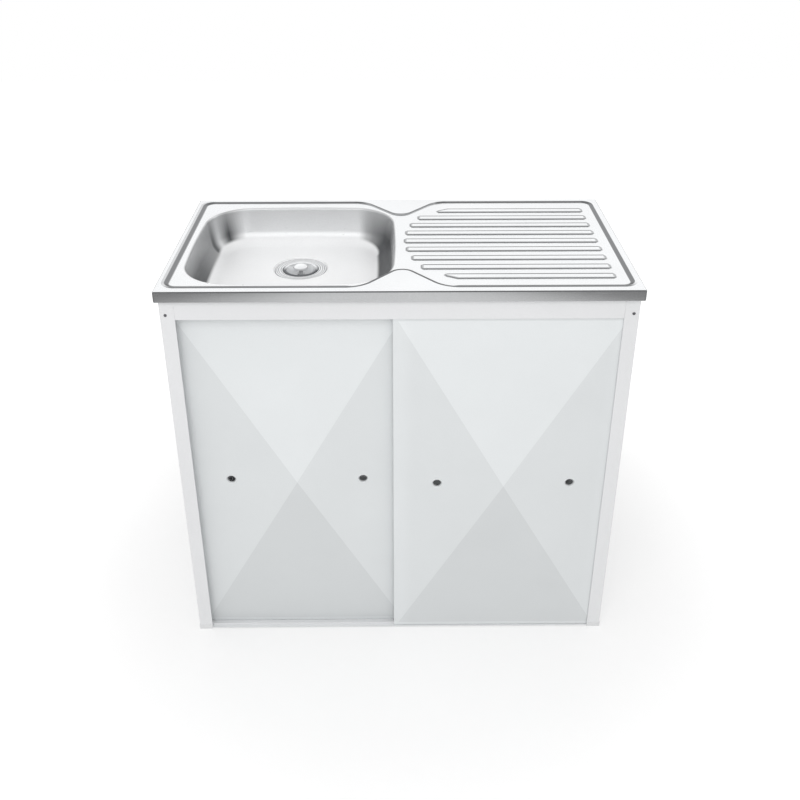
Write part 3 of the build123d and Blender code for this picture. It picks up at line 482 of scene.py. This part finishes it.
def bowl_skin(look):
    """The bowl, from the hole for the waste out to the ring that is welded into the deck."""
    skin = Skin()
    low = BOWL_FLOOR - DISH_DEPTH
    stations = [(HOLE_RADIUS, low, 0.0), (DISH_RADIUS - DISH_SLOPE - GUARD, low, 0.0)]
    for t in shares(ROUND_STEPS):
        stations.append((DISH_RADIUS - DISH_SLOPE * (1 - t), low + eased(DISH_DEPTH, t), 0.0))
    _, dish = skin.turn(WASTE, stations + [(DISH_RADIUS + GUARD, BOWL_FLOOR, 0.0)])
    turn = math.pi / 2 - BOWL_DRAFT
    foot = (DECK - BOWL_FLOOR) * math.tan(BOWL_DRAFT) + BOWL_FLOOR_ROUND * math.tan(turn / 2)
    profile = [(foot + GUARD, BOWL_FLOOR, 0.0)]
    for t in shares(FILLET_STEPS):
        profile.append((foot - BOWL_FLOOR_ROUND * math.sin(turn * t),
                        BOWL_FLOOR + BOWL_FLOOR_ROUND * (1 - math.cos(turn * t)),
                        wall_shade(FILLET_RISE * t, t)))
    shoulder = BOWL_EDGE_ROUND * math.tan(turn / 2)
    for t in shares(SLOPE_STEPS):
        angle = turn * (1 - t)
        profile.append((BOWL_EDGE_ROUND * math.sin(angle) - shoulder,
                        DECK - BOWL_EDGE_ROUND * (1 - math.cos(angle)),
                        wall_shade(1.0, fade=min(1.0, 2 - 2 * t))))
    profile.append((-BOWL_RING, DECK, 0.0))
    floor, _ = skin.sweep(bowl_outline(), profile)
    skin.flat(floor, [dish])
    return thicken(skin.object("bowl_skin", look))


# --- the strainer ------------------------------------------------------------------------------------------
def waste_skin(look):
    """The flanged strainer body, with turned rings in its flange, down to the end of its spigot."""
    seat = BOWL_FLOOR - DISH_DEPTH
    floor, bottom = seat - BODY_DEPTH + BODY_WALL, flange_low.z
    top = seat + FLANGE_TOP
    stations = [(SPIGOT_BORE, bottom, 0.0), (SPIGOT_BORE, floor, 0.0), (BODY_BORE, floor, 0.0),
                (BODY_BORE, seat, MOUTH_SHADE), (BODY_RADIUS, top - MOUTH_FALL, 0.0)]
    for ring in RINGS:
        stations += [(ring - RING_HALF, top, 0.0), (ring - RING_BED, top - RING_DEPTH, RING_SHADE),
                     (ring + RING_BED, top - RING_DEPTH, RING_SHADE), (ring + RING_HALF, top - RING_FALL, 0.0)]
    stations += [(FLANGE_RADIUS - CROWN_WIDTH, top - CROWN_FALL, 0.0),
                 (FLANGE_RADIUS - LIP_WIDTH, seat + LIP_HEIGHT, RING_SHADE),
                 (FLANGE_RADIUS, seat, FLANGE_LIP_SHADE), (BODY_RADIUS, seat, 0.0)]
    outside = seat - BODY_DEPTH
    stations += [(BODY_RADIUS, outside + BODY_BEVEL, 0.0), (BODY_RADIUS - BODY_BEVEL, outside, 0.0),
                 (SPIGOT_RADIUS, outside, 0.0), (SPIGOT_RADIUS, bottom, 0.0)]
    skin = Skin()
    skin.turn(WASTE, stations, closed=True)
    return skin.object("waste_skin", look)


def crescent(direction):
    """Painted shadow on the front half of the basket's ring."""
    return CRESCENT_SHADE * max(0.0, min(1.0, CRESCENT_MIDDLE - CRESCENT_SLOPE * direction.y))


def cup_skin(look):
    """The basket: a rolled ring and a cup whose floor has slots."""
    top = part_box("basket_cup")[1].z
    floor = top - CUP_DEPTH + SHEET
    stations = [(radius, floor + height, painted_shade) for radius, height, painted_shade in CUP_BEND]
    stations.append((CUP_MOUTH - NECK_WIDTH, top - NECK_DEPTH, 0.0))
    stations += [(CUP_MOUTH + out, top - down, crescent) for out, down in rounding(INNER_ROLL)]
    stations += [(CUP_RING - inward, top - down, crescent) for down, inward in rounding(OUTER_ROLL)]
    skin = Skin()
    skin.turn(WASTE, stations + [(CUP_RING, top - CUP_LIP, BASKET_LIP_SHADE)])
    pitch = TURN_COUNT // CUP_SLOTS
    skin.faces = [face for face in skin.faces
                  if not (face[0] // TURN_COUNT == 1 and face[0] % TURN_COUNT % pitch < SLOT_CELLS)]
    return thicken(skin.object("cup_skin", look), CUP_SHEET)


def knob_skin(look):
    """The pull knob: a dished cap with a rounded rim, on the stem that goes down to the stopper."""
    low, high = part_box("basket_knob")
    stations = [(radius, high.z - depth, painted_shade) for radius, depth, painted_shade in KNOB_PROFILE]
    skin = Skin()
    cap, foot = skin.turn(WASTE, stations + [(STEM, low.z, 0.0)])
    skin.flat(cap)
    skin.flat(foot, side=-1)
    return skin.object("knob_skin", look)


# --- small pieces of the cupboard --------------------------------------------------------------------------
def finger_rim(door, side, look):
    """The rolled edge of a door's finger hole, with painted shade inside."""
    low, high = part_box(f"{door}_door_panel")
    half = (high.x - low.x) / 2 - CREASE_BORDER
    slope = CREASE_RISE / half
    skin = Skin()

    # Painted shade on the roll, more higher up, where it faces down out of the light.
    def painted_roll_shade(level):
        return lambda direction: level * (SHADE_EVEN + SHADE_UPPER * direction.y)

    stations = [(FINGER_HOLE, -FINGER_COLLAR, COLLAR_SHADE), (FINGER_HOLE, -FINGER_ROLL, painted_roll_shade(ROLL_SHADE))]
    for t in shares(ROUND_STEPS)[1:]:
        angle = math.pi / 2 * t
        stations.append((FINGER_HOLE + FINGER_ROLL * (1 - math.cos(angle)),
                         FINGER_ROLL * (math.sin(angle) - 1) + ROLL_PROUD, painted_roll_shade(ROLL_SHADE * (1 - t))))
    skin.turn(Vector((0, 0)), stations + [(FINGER_HOLE + FINGER_ROLL + ROLL_FOOT, 0.0, 0.0)])
    face = Vector((side * slope, -1, 0)).normalized()
    place = Vector(((low.x + high.x) / 2 + side * FINGER_OFFSET,
                    low.y + CREASE_RISE - (half - FINGER_OFFSET) * slope,
                    (low.z + high.z) / 2))
    end = "left" if side < 0 else "right"
    return thicken(skin.placed(place, face).object(f"{door}_finger_rim_{end}", look), ROLL_SHEET)


def frame_screw(name, place, outward, look):
    """A domed screw with a cross recess, through the upright and the rail's tab."""
    stations = [(POLE, SCREW_RISE, 0.0)]
    for t in shares(ROUND_STEPS)[1:]:
        angle = math.pi / 2 * t
        height = SCREW_RISE * (SCREW_BRIM + (1 - SCREW_BRIM) * math.cos(angle))
        stations.append((SCREW_HEAD * math.sin(angle), height, 0.0))
    stations += [(SCREW_HEAD, 0.0, 0.0), (SCREW_SHANK, 0.0, 0.0), (SCREW_SHANK, -SCREW_TIP, 0.0),
                 (POLE, -SCREW_TIP - SCREW_POINT, 0.0)]
    skin = Skin()
    cap, tip = skin.turn(Vector((0, 0)), stations)
    skin.flat(cap)
    skin.flat(tip, side=-1)
    recessed = []
    for x, y, z in skin.points:
        arm, width = max(abs(x), abs(y)), min(abs(x), abs(y))
        if z > SCREW_RISE / 2 and width < CROSS_HALF and arm < SCREW_HEAD * CROSS_REACH:
            z -= SCREW_RISE * CROSS_DEPTH
        recessed.append((x, y, z))
    skin.points = recessed
    return skin.placed(place, outward).object(name, look)


# --- procedural materials ----------------------------------------------------------------------------------
NOISE_SPAN = (0.3, 0.7)                 # where most values of a noise lie
PAINT_SHADE_COLOUR = (0.02, 0.02, 0.022, 1)    # colours where a surface has its full painted shade
STEEL_SHADE_COLOUR = (0.085, 0.088, 0.092, 1)
TURNED_SHADE_COLOUR = (0.06, 0.065, 0.075, 1)
SHADE_ROUGHNESS = 0.15                   # what full painted shade adds to the roughness
FACET_LEAN = 0.02                       # lean at which a door's facet has its full tone: painted light when it leans up, painted shade when down
BORDER_SPAN, BORDER_HIGHLIGHT = (0.40, 0.48), 0.04   # painted highlight on the ends of a door, by distance from its middle
GROUND_STEEL, GROUND_ROUGHNESS = (0.93, 0.935, 0.94), 0.15  # matt ground finish in the bowl
SATIN_HEIGHT, SATIN_FADE = 0.008, 0.010     # height over the bowl's floor where it fades, and how far
SATIN_SHARE, WALL_SATIN = 0.85, 0.35    # its share on the bowl's floor and on its wall
SPANGLE_CELLS = 260.0                   # cells in a metre of zinc plating


class Look:
    """A material round one Principled shader, patterned by object coordinates."""

    def __init__(self, name, **settings):
        self.material = bpy.data.materials.new(name)
        self.material.use_nodes = True
        self.tree = self.material.node_tree
        self.shader = self.tree.nodes["Principled BSDF"]
        self.set(**settings)
        self.place = self.node("TexCoord").outputs["Object"]

    def feed(self, socket, value):
        """Links a socket to another, or gives it a plain value."""
        if isinstance(value, bpy.types.NodeSocket):
            self.tree.links.new(value, socket)
        else:
            socket.default_value = value

    def set(self, **settings):
        """Feeds the shader's sockets, named with _ for each space."""
        for name, value in settings.items():
            self.feed(self.shader.inputs[name.replace("_", " ")], value)

    def node(self, kind, fields=None, **inputs):
        """A new node with its fields and inputs set."""
        made = self.tree.nodes.new("ShaderNode" + kind)
        for key, value in (fields or {}).items():
            setattr(made, key, value)
        for key, value in inputs.items():
            self.feed(made.inputs[key.replace("_", " ")], value)
        return made

    def painted(self):
        """The shade painted on a mesh, which is 0 on a mesh without any."""
        return self.node("Attribute", {"attribute_name": "painted_shade"}).outputs["Fac"]

    def part(self, vector, axis):
        """One of the X, Y and Z of a vector or colour."""
        return self.node("SeparateXYZ", Vector=vector).outputs[axis]

    def noise(self, size, detail, stretch=(1, 1, 1)):
        """Cloudy noise with features of about a size in metres, longer where stretch is larger."""
        scale = [1 / (size * s) for s in stretch]
        place = self.node("Mapping", Vector=self.place, Scale=scale).outputs["Vector"]
        return self.node("TexNoise", Vector=place, Scale=1.0, Detail=detail).outputs["Fac"]

    def spread(self, value, low, high, span=NOISE_SPAN, curve="LINEAR"):
        """A value rescaled from a span to low ... high."""
        return self.node("MapRange", {"interpolation_type": curve}, Value=value, From_Min=span[0],
                         From_Max=span[1], To_Min=low, To_Max=high).outputs["Result"]

    def fade(self, value, low, high, span):
        """A value rescaled from a span to low ... high, which starts and ends gently."""
        return self.spread(value, low, high, span, "SMOOTHSTEP")

    def math(self, operation, a, b):
        """Arithmetic on two values."""
        made = self.node("Math", {"operation": operation})
        self.feed(made.inputs[0], a)
        self.feed(made.inputs[1], b)
        return made.outputs[0]

    def tint(self, colour, *factors):
        """A colour multiplied by any number of grey values."""
        value = factors[0]
        for factor in factors[1:]:
            value = self.math("MULTIPLY", value, factor)
        scaled = self.node("VectorMath", {"operation": "SCALE"}, Scale=value)
        scaled.inputs[0].default_value = colour
        return scaled.outputs[0]

    def blend(self, factor, first, second):
        """A mix of two colours."""
        made = self.node("Mix", {"data_type": "RGBA"})
        for index, value in ((0, factor), (6, first), (7, second)):
            self.feed(made.inputs[index], value)
        return made.outputs[2]

    def mix(self, factor, first, second):
        """A mix of two shaders."""
        made = self.node("MixShader", Fac=factor)
        self.feed(made.inputs[1], first)
        self.feed(made.inputs[2], second)
        return made.outputs[0]

    def bump(self, height, depth, strength):
        """Relief of a depth in metres."""
        made = self.node("Bump", Height=height, Distance=depth, Strength=strength)
        self.set(Normal=made.outputs["Normal"])


def coat_look(name, colour, facet_light=0.0, roughness=0.42):
    """Powder coat: fine orange peel, a little uneven in tone and gloss, and dark where shade is painted."""
    look = Look(name, IOR=1.45)
    cloud = look.spread(look.noise(0.16, 4), 0.985, 1.01)
    speck = look.spread(look.noise(0.0022, 2), 0.992, 1.006)
    tone = look.math("MULTIPLY", cloud, speck)
    # Painted light on upward-leaning facets, painted shade on downward ones, and a painted highlight at the
    # door's ends.
    if facet_light:
        upward = look.part(look.node("TexCoord").outputs["Normal"], "Z")
        lean = look.node("Clamp", Value=upward, Min=-FACET_LEAN, Max=FACET_LEAN).outputs[0]
        across = look.part(look.node("TexCoord").outputs["Generated"], "X")
        from_middle = look.math("ABSOLUTE", look.math("SUBTRACT", across, 0.5), 0.0)
        border_highlight = look.fade(from_middle, 0.0, BORDER_HIGHLIGHT, BORDER_SPAN)
        tone = look.math("MULTIPLY", tone, look.math("ADD", look.math("MULTIPLY", lean, facet_light), 1.0))
        tone = look.math("ADD", tone, border_highlight)
    look.set(Base_Color=look.blend(look.painted(), look.tint(colour, tone), PAINT_SHADE_COLOUR))
    look.set(Roughness=look.spread(look.noise(0.03, 3), roughness - 0.05, roughness + 0.06))
    look.bump(look.noise(0.0016, 2), 0.00004, 0.6)
    return look.material


def steel_look(name, colour, roughness, grain, relief, satin_below=None):
    """Satin stainless steel with a long fine grain, dark where shade is painted.

    Below a height it has a matt ground finish, which scatters light evenly.
    """
    look = Look(name, Metallic=1.0)
    painted_shade = look.painted()
    cloud = look.spread(look.noise(0.12, 3), 0.975, 1.015)
    brushed = look.noise(0.0009, 3, grain)
    speck = look.spread(look.noise(0.0035, 3), 0.975, 1.01)
    polish = look.tint(colour, cloud, speck, look.spread(brushed, 0.97, 1.02))
    rough = look.math("ADD", look.spread(brushed, roughness - 0.04, roughness + 0.06),
                      look.math("MULTIPLY", painted_shade, SHADE_ROUGHNESS))
    if satin_below:
        height = look.part(look.place, "Z")
        satin = look.fade(height, SATIN_SHARE, WALL_SATIN, (satin_below, satin_below + SATIN_FADE))
        polish = look.blend(satin, polish, look.tint(GROUND_STEEL, cloud, speck))
        look.set(Metallic=look.math("SUBTRACT", 1.0, satin))
        rough = look.math("ADD", rough, look.math("MULTIPLY", satin, GROUND_ROUGHNESS))
    look.set(Base_Color=look.blend(painted_shade, polish, STEEL_SHADE_COLOUR))
    look.set(Roughness=rough)
    look.bump(brushed, 0.00001, relief)
    return look.material


def zinc_look(name, colour):
    """Zinc-plated sheet with a faint spangle."""
    look = Look(name, Metallic=1.0)
    cells = look.node("TexVoronoi", Vector=look.place, Scale=SPANGLE_CELLS)
    grey = look.part(cells.outputs["Color"], "X")
    look.set(Base_Color=look.tint(colour, look.spread(grey, 0.86, 1.06, (0, 1)),
                                  look.spread(look.noise(0.02, 4), 0.94, 1.03)))
    look.set(Roughness=look.spread(grey, 0.30, 0.44, (0, 1)))
    look.bump(look.noise(0.0012, 3), 0.00002, 0.5)
    return look.material


def polished_look(name, colour, metallic):
    """Bright turned steel with fine wipe marks, dark where shade is painted."""
    look = Look(name, Metallic=metallic)
    bright = look.tint(colour, look.spread(look.noise(0.02, 4), 0.95, 1.02))
    look.set(Base_Color=look.blend(look.painted(), bright, TURNED_SHADE_COLOUR))
    look.set(Roughness=look.spread(look.noise(0.0011, 4, (1, 12, 1)), 0.12, 0.22))
    look.bump(look.noise(0.004, 3), 0.00002, 0.3)
    return look.material


def plastic_look(name, colour, roughness, mottle=0.03):
    """Moulded plastic with a fine spark-eroded grain."""
    look = Look(name, IOR=1.49)
    look.set(Base_Color=look.tint(colour, look.spread(look.noise(0.012, 4), 1 - mottle, 1 + mottle)))
    look.set(Roughness=look.spread(look.noise(0.004, 3), roughness - 0.06, roughness + 0.08))
    look.bump(look.noise(0.0006, 2), 0.00003, 0.5)
    return look.material


def fibre_look(name, colour):
    """Pressed fibre: short hairs in a matt sheet."""
    look = Look(name, IOR=1.4)
    hairs = look.noise(0.0007, 4, (8, 1, 1))
    look.set(Base_Color=look.tint(colour, look.spread(hairs, 0.7, 1.25)))
    look.set(Roughness=look.spread(hairs, 0.75, 0.95))
    look.bump(hairs, 0.00008, 0.8)
    return look.material


looks = {
    "white_coat": coat_look("white_coat", (0.80, 0.805, 0.815)),
    "door_coat": coat_look("door_coat", (0.740, 0.763, 0.771), facet_light=5.7),
    "track_alloy": coat_look("track_alloy", (0.79, 0.80, 0.81), roughness=0.38),
    "foot_plastic": plastic_look("foot_plastic", (0.76, 0.765, 0.77), 0.45),
    "dark_zinc": plastic_look("dark_zinc", (0.12, 0.12, 0.13), 0.35, 0.15),
    "black_rubber": plastic_look("black_rubber", (0.028, 0.028, 0.03), 0.75, 0.2),
    "steel_deck": steel_look("steel_deck", (0.80, 0.81, 0.82), 0.20, (40, 1, 1), 0.3),
    "steel_bowl": steel_look("steel_bowl", (0.86, 0.87, 0.88), 0.26, (30, 30, 1), 0.04,
                             satin_below=BOWL_FLOOR + SATIN_HEIGHT),
    "galvanised": zinc_look("galvanised", (0.62, 0.64, 0.66)),
    "waste_steel": polished_look("waste_steel", (0.93, 0.94, 0.95), 0.4),
    "fibre": fibre_look("fibre", (0.40, 0.15, 0.09)),
    "white_plastic": plastic_look("white_plastic", (0.80, 0.80, 0.78), 0.38),
    "nylon": plastic_look("nylon", (0.83, 0.83, 0.79), 0.42),
}
for part in frame["record"]["subparts"]:
    node = nodes[part["node"]]
    node.data.materials.clear()
    node.data.materials.append(looks[part["material_slot"]])

# --- pieces -------------------------------------------------------------------------------------------------
for make, node, body, slot in (
        (deck_skin, "sink_deck", "cabinet", "steel_deck"),
        (bowl_skin, "sink_bowl", "cabinet", "steel_bowl"),
        (waste_skin, "waste_body", "cabinet", "waste_steel"),
        (cup_skin, "basket_cup", "strainer_basket", "waste_steel"),
        (knob_skin, "basket_knob", "strainer_basket", "waste_steel")):
    piece = make(looks[slot])
    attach(piece, body)
    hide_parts(node)

for door in ("left", "right"):
    for side in (-1, 1):
        rim = finger_rim(door, side, looks["door_coat"])
        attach(rim, f"{door}_door")

screw_low, screw_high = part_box("frame_screws")
for end, x in (("left", screw_low.x + SCREW_HEAD), ("right", screw_high.x - SCREW_HEAD)):
    for face, y, outward in (("front", screw_low.y + SCREW_RISE, -1), ("rear", screw_high.y - SCREW_RISE, 1)):
        screw = frame_screw(f"screw_{face}_{end}", Vector((x, y, (screw_low.z + screw_high.z) / 2)),
                            Vector((0, outward, 0)), looks["dark_zinc"])
        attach(screw, "cabinet")
        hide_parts("frame_screws")


# --- floor, light and camera -------------------------------------------------------------------------------
FLOOR_HALF = 5.0
FLOOR_CELLS = 8
FLOOR_COLOUR = (0.86, 0.86, 0.86)
FLOOR_WHITE = 1.24                      # white that the camera sees on the floor
WHITE_NEAR, WHITE_FAR = 0.35, 0.92      # its share where the shadow lies, and where the shadow has faded
SHADOW_SPAN = (0.5, 1.25)               # distances from the object's middle to those two places
MIRROR_NEAR, MIRROR_FAR = 0.73, 0.23    # the floor's level in reflections, before the object and beside it
MIRROR_SPAN = (0.25, 1.15)              # distances to the side of the object's middle for those two
SKY_LEVEL = 0.74                        # light on matt surfaces
GLOSSY_LEVEL = 1.22                     # strength of the bands that shiny surfaces mirror

# Brightness of those bands by the height that they are seen at, from the horizon at 0 to straight up at 1.
GLOSSY_BANDS = [(0.0, 0.34), (0.16, 0.38), (0.30, 1.0), (0.62, 1.0), (0.80, 0.56), (1.0, 0.50)]

# Soft boxes: name, place, target, size and power in watts.
LAMPS = [("key", (-0.4, -2.5, 2.5), (0, 0, 0.5), 2.2, 29),
         ("top", (-0.2, 0.1, 2.6), (-0.2, 0, 0.8), 1.6, 6)]

CAMERA_PLACE = (-0.01344, -1.73363, 1.58970)
CAMERA_TILT, CAMERA_YAW = -0.45592, -0.00891
CAMERA_LENS, CAMERA_SHIFT = 40.772, -0.14


def studio_floor():
    """A pale floor: white to the camera but for the shadow; in reflections pale, and dimmer to the sides."""
    grid = [-FLOOR_HALF + 2 * FLOOR_HALF * k / FLOOR_CELLS for k in range(FLOOR_CELLS + 1)]
    points = [(x, y, 0.0) for y in grid for x in grid]
    row = FLOOR_CELLS + 1
    faces = [(r * row + c, r * row + c + 1, (r + 1) * row + c + 1, (r + 1) * row + c)
             for r in range(FLOOR_CELLS) for c in range(FLOOR_CELLS)]
    mesh = bpy.data.meshes.new("studio_floor")
    mesh.from_pydata(points, [], faces)
    look = Look("studio_floor", Roughness=0.9, Specular_IOR_Level=0.0)
    look.set(Base_Color=look.tint(FLOOR_COLOUR, look.spread(look.noise(0.4, 3), 0.99, 1.01)))
    path = look.node("LightPath").outputs
    white = look.node("Emission", Strength=FLOOR_WHITE).outputs[0]
    side = look.math("ABSOLUTE", look.part(look.place, "X"), 0.0)
    level = look.fade(side, MIRROR_NEAR, MIRROR_FAR, MIRROR_SPAN)
    mirrored = look.node("Emission", Strength=level).outputs[0]
    away = look.node("VectorMath", {"operation": "LENGTH"}, Vector=look.place).outputs["Value"]
    share = look.fade(away, WHITE_NEAR, WHITE_FAR, SHADOW_SPAN)
    shown = look.mix(look.math("MULTIPLY", path["Is Camera Ray"], share), look.shader.outputs[0], white)
    shown = look.mix(path["Is Glossy Ray"], shown, mirrored)
    look.feed(look.tree.nodes["Material Output"].inputs["Surface"], shown)
    mesh.materials.append(look.material)
    floor = bpy.data.objects.new("studio_floor", mesh)
    bpy.context.scene.collection.objects.link(floor)


def studio_world():
    """White to the camera; level light for matt surfaces; in the steel, a bright band over a dim horizon."""
    world = bpy.data.worlds.new("studio")
    bpy.context.scene.world = world
    world.use_nodes = True
    tree = world.node_tree
    tree.nodes.clear()
    path = tree.nodes.new("ShaderNodeLightPath").outputs
    place = tree.nodes.new("ShaderNodeTexCoord").outputs["Generated"]
    split = tree.nodes.new("ShaderNodeSeparateXYZ")
    tree.links.new(place, split.inputs[0])
    ramp = tree.nodes.new("ShaderNodeValToRGB")
    while len(ramp.color_ramp.elements) < len(GLOSSY_BANDS):
        ramp.color_ramp.elements.new(0.5)
    for element, (position, level) in zip(ramp.color_ramp.elements, GLOSSY_BANDS):
        element.position = position
        element.color = (level, level, level, 1)
    tree.links.new(split.outputs["Z"], ramp.inputs[0])
    layers = []
    for colour, strength in ((None, 1.0), (None, SKY_LEVEL), (ramp.outputs["Color"], GLOSSY_LEVEL)):
        background = tree.nodes.new("ShaderNodeBackground")
        background.inputs["Color"].default_value = (1, 1, 1, 1)
        background.inputs["Strength"].default_value = strength
        if colour:
            tree.links.new(colour, background.inputs["Color"])
        layers.append(background.outputs[0])
    camera_white, sky, band = layers
    shown = sky
    for flag, layer in (("Is Glossy Ray", band), ("Is Camera Ray", camera_white)):
        mixed = tree.nodes.new("ShaderNodeMixShader")
        tree.links.new(path[flag], mixed.inputs["Fac"])
        tree.links.new(shown, mixed.inputs[1])
        tree.links.new(layer, mixed.inputs[2])
        shown = mixed.outputs[0]
    output = tree.nodes.new("ShaderNodeOutputWorld")
    tree.links.new(shown, output.inputs["Surface"])


def area_lamp(name, place, target, size, power):
    """A square soft box that points at a target."""
    data = bpy.data.lights.new(name, "AREA")
    data.size = size
    data.energy = power
    lamp = bpy.data.objects.new(name, data)
    lamp.location = place
    lamp.rotation_euler = (Vector(target) - Vector(place)).to_track_quat("-Z", "Y").to_euler()
    lamp.visible_glossy = False
    bpy.context.scene.collection.objects.link(lamp)


studio_floor()
studio_world()
for lamp in LAMPS:
    area_lamp(*lamp)

camera_data = bpy.data.cameras.new("camera")
camera_data.lens = CAMERA_LENS
camera_data.shift_y = CAMERA_SHIFT
camera = bpy.data.objects.new("camera", camera_data)
camera.location = CAMERA_PLACE
camera.rotation_euler = (math.pi / 2 + CAMERA_TILT, 0, CAMERA_YAW)
bpy.context.scene.collection.objects.link(camera)
bpy.context.scene.camera = camera
bpy.context.scene.view_settings.view_transform = "Standard"
